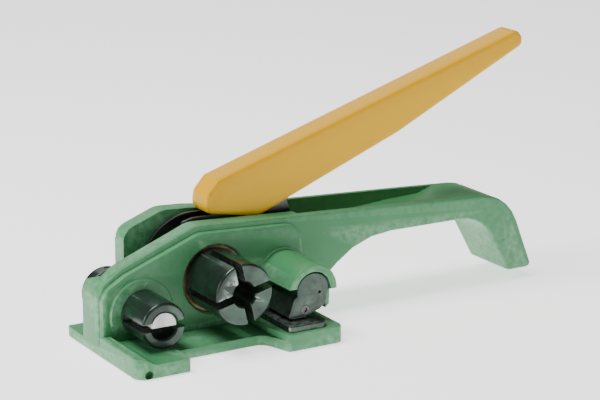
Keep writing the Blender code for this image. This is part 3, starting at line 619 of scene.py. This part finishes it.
@dataclass(frozen=True)
class CoilTree:
    """A wound wire, as a node tree: a spiral with a round section."""

    name: str = "wound_wire"

    def build(self) -> bpy.types.NodeTree:
        """The tree, with its sizes as named inputs.

        Returns:
            The node tree.
        """
        tree = bpy.data.node_groups.new(self.name, "GeometryNodeTree")
        sides = tree.interface
        sides.new_socket("Geometry", in_out="OUTPUT", socket_type="NodeSocketGeometry")
        sides.new_socket("Turns", in_out="INPUT", socket_type="NodeSocketFloat")
        sides.new_socket("Radius", in_out="INPUT", socket_type="NodeSocketFloat")
        sides.new_socket("Height", in_out="INPUT", socket_type="NodeSocketFloat")
        sides.new_socket("Wire", in_out="INPUT", socket_type="NodeSocketFloat")
        sides.new_socket("Finish", in_out="INPUT", socket_type="NodeSocketMaterial")
        nodes, links = tree.nodes, tree.links
        given = nodes.new("NodeGroupInput")
        spiral = nodes.new("GeometryNodeCurveSpiral")
        spiral.inputs["Resolution"].default_value = 40
        links.new(given.outputs["Turns"], spiral.inputs["Rotations"])
        links.new(given.outputs["Radius"], spiral.inputs["Start Radius"])
        links.new(given.outputs["Radius"], spiral.inputs["End Radius"])
        links.new(given.outputs["Height"], spiral.inputs["Height"])
        section = nodes.new("GeometryNodeCurvePrimitiveCircle")
        section.inputs["Resolution"].default_value = 12
        links.new(given.outputs["Wire"], section.inputs["Radius"])
        sweep = nodes.new("GeometryNodeCurveToMesh")
        sweep.inputs["Fill Caps"].default_value = True
        links.new(spiral.outputs["Curve"], sweep.inputs["Curve"])
        links.new(section.outputs["Curve"], sweep.inputs["Profile Curve"])
        smooth = nodes.new("GeometryNodeSetShadeSmooth")
        links.new(sweep.outputs["Mesh"], smooth.inputs["Geometry"])
        realise = nodes.new("GeometryNodeRealizeInstances")
        links.new(smooth.outputs["Geometry"], realise.inputs["Geometry"])
        coat = nodes.new("GeometryNodeSetMaterial")
        links.new(realise.outputs["Geometry"], coat.inputs["Geometry"])
        links.new(given.outputs["Finish"], coat.inputs["Material"])
        result = nodes.new("NodeGroupOutput")
        links.new(coat.outputs["Geometry"], result.inputs["Geometry"])
        return tree


def grown(name: str, tree: bpy.types.NodeTree, sizes: dict[str, object], place: Matrix) -> bpy.types.Object:
    """Runs a node tree and keeps its result as a plain mesh at the origin.

    Args:
        name: the piece's name.
        tree: the node tree.
        sizes: its inputs, by name, in metres where they are lengths.
        place: where the result goes, in metres.

    Returns:
        The piece.
    """
    thing = new_object(name, bpy.data.meshes.new(name))
    step = thing.modifiers.new("grow", "NODES")
    step.node_group = tree
    for socket in tree.interface.items_tree:
        if socket.in_out == "INPUT":
            step[socket.identifier] = sizes[socket.name]
    baked(thing)
    work = bmesh.new()
    work.from_mesh(thing.data)
    work.transform(place)
    bmesh.ops.remove_doubles(work, verts=work.verts, dist=WIRE_MERGE)
    bmesh.ops.recalc_face_normals(work, faces=work.faces)
    work.to_mesh(thing.data)
    work.free()
    return thing


# The tool's sub-assemblies


@dataclass
class Casting:
    """The cast base, its walls and its fixed handle, with its bushes and anvil."""

    finishes: Finishes
    edge: float = 0.7
    anvil_edge: float = 0.35

    def build(self) -> None:
        """Makes the casting and dresses what is fixed to it."""
        body = softened(copy_of("body_casting", "cast_body"), self.edge)
        finish_piece(body, Body.TOOL, self.finishes.casting, ("body_casting",))
        anvil = softened(copy_of("anvil_plate", "anvil"), self.anvil_edge)
        finish_piece(anvil, Body.TOOL, self.finishes.milled, ("anvil_plate",))
        for node in ("front_bush", "back_bush"):
            bush = softened(copy_of(node, f"turned_{node}"), 0.15)
            finish_piece(bush, Body.TOOL, self.finishes.bronze, (node,))
        for node in ("anvil_screw_1", "anvil_screw_2", "lever_stop_pin", "sleeve_set_screw"):
            dress_node(node, self.finishes.steel)


@dataclass
class Windlass:
    """The slotted drum on its shaft, and the ratchet between the walls."""

    finishes: Finishes
    bore: float = 7.2
    slot: float = 4.6
    slot_turn: float = 13.4
    slot_end: float = -2.0
    rim: float = 1.5
    shaft: float = 8.0
    bore_depth: float = 30.0
    mouth: float = 0.9
    groove_depth: float = 1.2
    groove_width: float = 1.4
    end_chamfer: float = 0.8
    shoulder_gap: float = 0.3
    clip_gap: float = 0.1
    overshoot: float = 5.0

    def build(self) -> None:
        """Makes the drum and dresses the ratchet's pieces."""
        self._drum()
        for node in ("ratchet_wheel", "front_spacer", "rear_spacer", "shaft_washer", "shaft_circlip"):
            piece = softened(copy_of(node, f"machined_{node}"), 0.2)
            finish_piece(piece, Body.WINDLASS, self.finishes.steel, (node,))
        dress_node("ratchet_key", self.finishes.steel)

    def _drum(self) -> None:
        """The drum and shaft in one turned piece, with two crossed strap slots."""
        low, high = low_of("windlass_drum"), high_of("windlass_drum")
        centre = Vector(((low.x + high.x) / 2, 0.0, (low.z + high.z) / 2))
        radius = (high.x - low.x) / 2
        front, back = low.y, high.y
        shoulder = low_of("front_spacer").y - self.shoulder_gap
        groove = low_of("shaft_circlip").y - self.clip_gap
        neck = self.shaft - self.groove_depth
        floor = front + self.bore_depth
        corner = arc((radius - self.rim, front + self.rim), self.rim, -90.0, 0.0, 15.0)
        profile = [
            (0.0, floor),
            (self.bore, floor),
            (self.bore, front + self.mouth),
            (self.bore + self.mouth, front),
            *corner,
            (radius, shoulder),
            (self.shaft, shoulder),
            (self.shaft, groove),
            (neck, groove),
            (neck, groove + self.groove_width),
            (self.shaft, groove + self.groove_width),
            (self.shaft, back - self.end_chamfer),
            (self.shaft - self.end_chamfer, back),
            (0.0, back),
        ]
        drum = new_object("slotted_drum", turned(profile, centre, 144))
        slots = []
        reach = radius + self.overshoot
        half = self.slot / 2
        for quarter in (0.0, 90.0):
            turn = Matrix.Translation(centre) @ Matrix.Rotation(radians(-self.slot_turn - quarter), 4, "Y")
            slots.append(block((-reach, front - self.overshoot, -half), (reach, self.slot_end, half), turn))
        cut(drum, slots)
        softened(drum, 0.45, 28.0)
        finish_piece(drum, Body.WINDLASS, self.finishes.drum, ("windlass_drum",))


@dataclass
class Lever:
    """The pumping lever: a forked plate with an enamelled grip."""

    finishes: Finishes

    def build(self) -> None:
        """Makes the grip and the fork, and dresses the drive pawl's pin and the screws."""
        grip = softened(copy_of("lever_grip", "enamelled_grip"), 0.5, 24.0, 3)
        finish_piece(grip, Body.LEVER, self.finishes.grip, ("lever_grip",))
        fork = softened(copy_of("lever_fork", "fork_plates"), 0.25)
        finish_piece(fork, Body.LEVER, self.finishes.plate, ("lever_fork",))
        for node in ("grip_screw_1", "grip_screw_2", "drive_pawl_pin"):
            dress_node(node, self.finishes.steel)


@dataclass
class Pawls:
    """The drive pawl and the holding pawl, with the holding pawl's pin."""

    finishes: Finishes

    def build(self) -> None:
        """Makes both pawls and dresses the pin and its spacer."""
        for node, body in (("drive_pawl", Body.DRIVE_PAWL), ("holding_pawl", Body.HOLDING_PAWL)):
            pawl = softened(copy_of(node, f"hardened_{node}"), 0.25)
            finish_piece(pawl, body, self.finishes.steel, (node,))
        for node in ("holding_pawl_pin", "holding_pawl_spacer"):
            dress_node(node, self.finishes.steel)


@dataclass
class Gripper:
    """The sprung cam under the hood that pinches the strap on the anvil."""

    finishes: Finishes

    def build(self) -> None:
        """Makes the cam, its toothed jaw and the dowel."""
        cam = softened(copy_of("gripper_cam", "milled_cam"), 0.35)
        finish_piece(cam, Body.GRIPPER, self.finishes.milled, ("gripper_cam",))
        jaw = softened(copy_of("gripper_jaw", "toothed_jaw"), 0.08)
        finish_piece(jaw, Body.GRIPPER, self.finishes.steel, ("gripper_jaw",))
        dowel = softened(copy_of("jaw_dowel", "ring_dowel"), 0.15)
        finish_piece(dowel, Body.GRIPPER, self.finishes.plate, ("jaw_dowel",))
        dress_node("gripper_pin", self.finishes.steel)


@dataclass
class Cutter:
    """The strap cutter: a slotted sleeve, its turning core, and the hub behind the wall."""

    finishes: Finishes
    slot: float = 4.6
    wall: float = 5.6
    spigot: float = 11.0
    rim: float = 1.8
    slot_end: float = -3.4
    mouth: float = 0.9
    seat: float = -1.5
    overshoot: float = 3.0

    def build(self) -> None:
        """Makes the sleeve, the core and the hub, and dresses the small pieces."""
        self._sleeve()
        core = softened(copy_of("cutter_core", "half_round_core"), 0.3)
        finish_piece(core, Body.CUTTER, self.finishes.steel, ("cutter_core",))
        hub = softened(copy_of("cutter_hub", "cast_hub"), 0.4)
        finish_piece(hub, Body.CUTTER, self.finishes.drum, ("cutter_hub",))
        arm = softened(copy_of("cutter_trip_arm", "trip_arm"), 0.3)
        finish_piece(arm, Body.CUTTER, self.finishes.steel, ("cutter_trip_arm",))
        dress_node("hub_roll_pin", self.finishes.steel)

    def _sleeve(self) -> None:
        """The sleeve with its strap slot right across, and the spigot that seats it in the casting."""
        low, high = low_of("cutter_sleeve"), high_of("cutter_sleeve")
        centre = Vector(((low.x + high.x) / 2, 0.0, (low.z + high.z) / 2))
        radius = (high.x - low.x) / 2
        hole = radius - self.wall
        front, back = low.y, high.y
        corner = arc((radius - self.rim, front + self.rim), self.rim, -90.0, 0.0, 15.0)
        profile = [
            (hole, front + self.mouth),
            (hole + self.mouth, front),
            *corner,
            (radius, self.seat),
            (self.spigot, self.seat),
            (self.spigot, back),
            (hole, back),
            (hole, front + self.mouth),
        ]
        sleeve = new_object("slotted_sleeve", turned(profile, centre, 128))
        reach = radius + self.overshoot
        turn = Matrix.Translation(centre)
        half = self.slot / 2
        cut(sleeve, [block((-reach, front - self.overshoot, -half), (reach, self.slot_end, half), turn)])
        softened(sleeve, 0.4, 28.0)
        finish_piece(sleeve, Body.TOOL, self.finishes.drum, ("cutter_sleeve",))


@dataclass
class Springs:
    """The torsion springs, one beside each sprung piece."""

    finishes: Finishes
    gap: float = 0.25
    least_turns: int = 2
    wires: dict[str, tuple[Body, float]] = field(
        default_factory=lambda: {
            "drive_pawl_spring": (Body.LEVER, 0.38),
            "holding_pawl_spring": (Body.TOOL, 0.48),
            "gripper_spring": (Body.TOOL, 0.58),
            "cutter_spring": (Body.TOOL, 0.68),
        }
    )

    def build(self) -> None:
        """Winds each spring inside its node's box."""
        tree = CoilTree().build()
        for node, (body, wire) in self.wires.items():
            low, high = low_of(node), high_of(node)
            length = high.y - low.y - 2 * wire
            radius = (high.x - low.x) / 2 - wire
            sizes = {
                "Turns": float(max(self.least_turns, int(length / (2 * wire + self.gap)))),
                "Radius": radius * MM,
                "Height": length * MM,
                "Wire": wire * MM,
                "Finish": self.finishes.wire,
            }
            start = Vector(((low.x + high.x) / 2, low.y + wire, (low.z + high.z) / 2)) * MM
            place = Matrix.Translation(start) @ Matrix.Rotation(-pi / 2, 4, "X")
            spring = grown(f"wound_{node}", tree, sizes, place)
            finish_piece(spring, body, self.finishes.wire, (node,))


@dataclass(frozen=True)
class Lamp:
    """A square soft light: its place and side in metres, and its power in watts."""

    place: Place
    size: float
    power: float


@dataclass
class Studio:
    """A pale floor, soft lights and the camera."""

    azimuth: float = -30.69
    elevation: float = 15.1
    place: Place = (-0.5439, -1.0249, 0.3965)
    lens: float = 125.79
    floor: float = 9.0
    surround: float = 0.15
    aim: Place = (0.05, 0.0, 0.05)
    lamps: dict[str, Lamp] = field(
        default_factory=lambda: {
            "key": Lamp((-0.35, 0.1, 1.25), 0.6, 19.0),
            "nose": Lamp((-1.3, 0.2, 0.5), 0.6, 8.0),
            "fill": Lamp((0.3, -1.4, 0.8), 0.8, 2.0),
            "back": Lamp((0.4, 1.2, 1.0), 1.0, 3.0),
        }
    )

    def build(self) -> None:
        """Makes the floor, the world, the lights and the camera."""
        self._floor()
        self._world()
        for name, lamp in self.lamps.items():
            self._light(name, lamp)
        self._camera()

    def _floor(self) -> None:
        """A plain pale floor."""
        mesh = bpy.data.meshes.new("studio_floor")
        work = bmesh.new()
        bmesh.ops.create_grid(work, x_segments=1, y_segments=1, size=self.floor)
        work.transform(Matrix.Translation((0.0, 0.0, -0.0002)))
        work.to_mesh(mesh)
        work.free()
        floor = new_object("studio_floor", mesh)
        shader = Shader("pale_paper")
        mottle = shader.noise(3.0, 2.0)
        look = shader.dress(
            Base_Color=shader.blend(mottle * 0.3, (0.93, 0.93, 0.93), (0.9, 0.9, 0.9)),
            Roughness=0.9,
            Emission_Color=(1.0, 1.0, 1.0),
            Emission_Strength=1.3,
        )
        mesh.materials.append(look)

    def _world(self) -> None:
        """An even bright surround."""
        world = bpy.data.worlds.new("studio")
        world.use_nodes = True
        ground = world.node_tree.nodes["Background"]
        ground.inputs["Color"].default_value = (1.0, 1.0, 1.0, 1.0)
        ground.inputs["Strength"].default_value = self.surround
        bpy.context.scene.world = world

    def _light(self, name: str, lamp: Lamp) -> None:
        """A square soft light aimed at the tool.

        Args:
            name: its name.
            lamp: its place, side and power.
        """
        light = bpy.data.lights.new(name, "AREA")
        light.shape = "SQUARE"
        light.size = lamp.size
        light.energy = lamp.power
        thing = bpy.data.objects.new(name, light)
        thing.location = lamp.place
        sight = Vector(self.aim) - Vector(lamp.place)
        thing.rotation_euler = sight.to_track_quat("-Z", "Y").to_euler()
        bpy.context.scene.collection.objects.link(thing)

    def _camera(self) -> None:
        """The camera, looking level along its azimuth and down by its elevation."""
        lens = bpy.data.cameras.new("camera")
        lens.lens = self.lens
        lens.sensor_width = 36.0
        lens.clip_start = 0.05
        camera = bpy.data.objects.new("camera", lens)
        camera.location = self.place
        camera.rotation_euler = (radians(90.0 - self.elevation), 0.0, radians(self.azimuth))
        bpy.context.scene.collection.objects.link(camera)
        bpy.context.scene.camera = camera


def main() -> None:
    """Builds the studio and every sub-assembly."""
    logging.basicConfig(level=logging.INFO, format="%(message)s")
    Studio().build()
    finishes = Finishes()
    for part in (Casting, Windlass, Lever, Pawls, Gripper, Cutter, Springs):
        part(finishes).build()


if __name__ == "__main__":
    main()
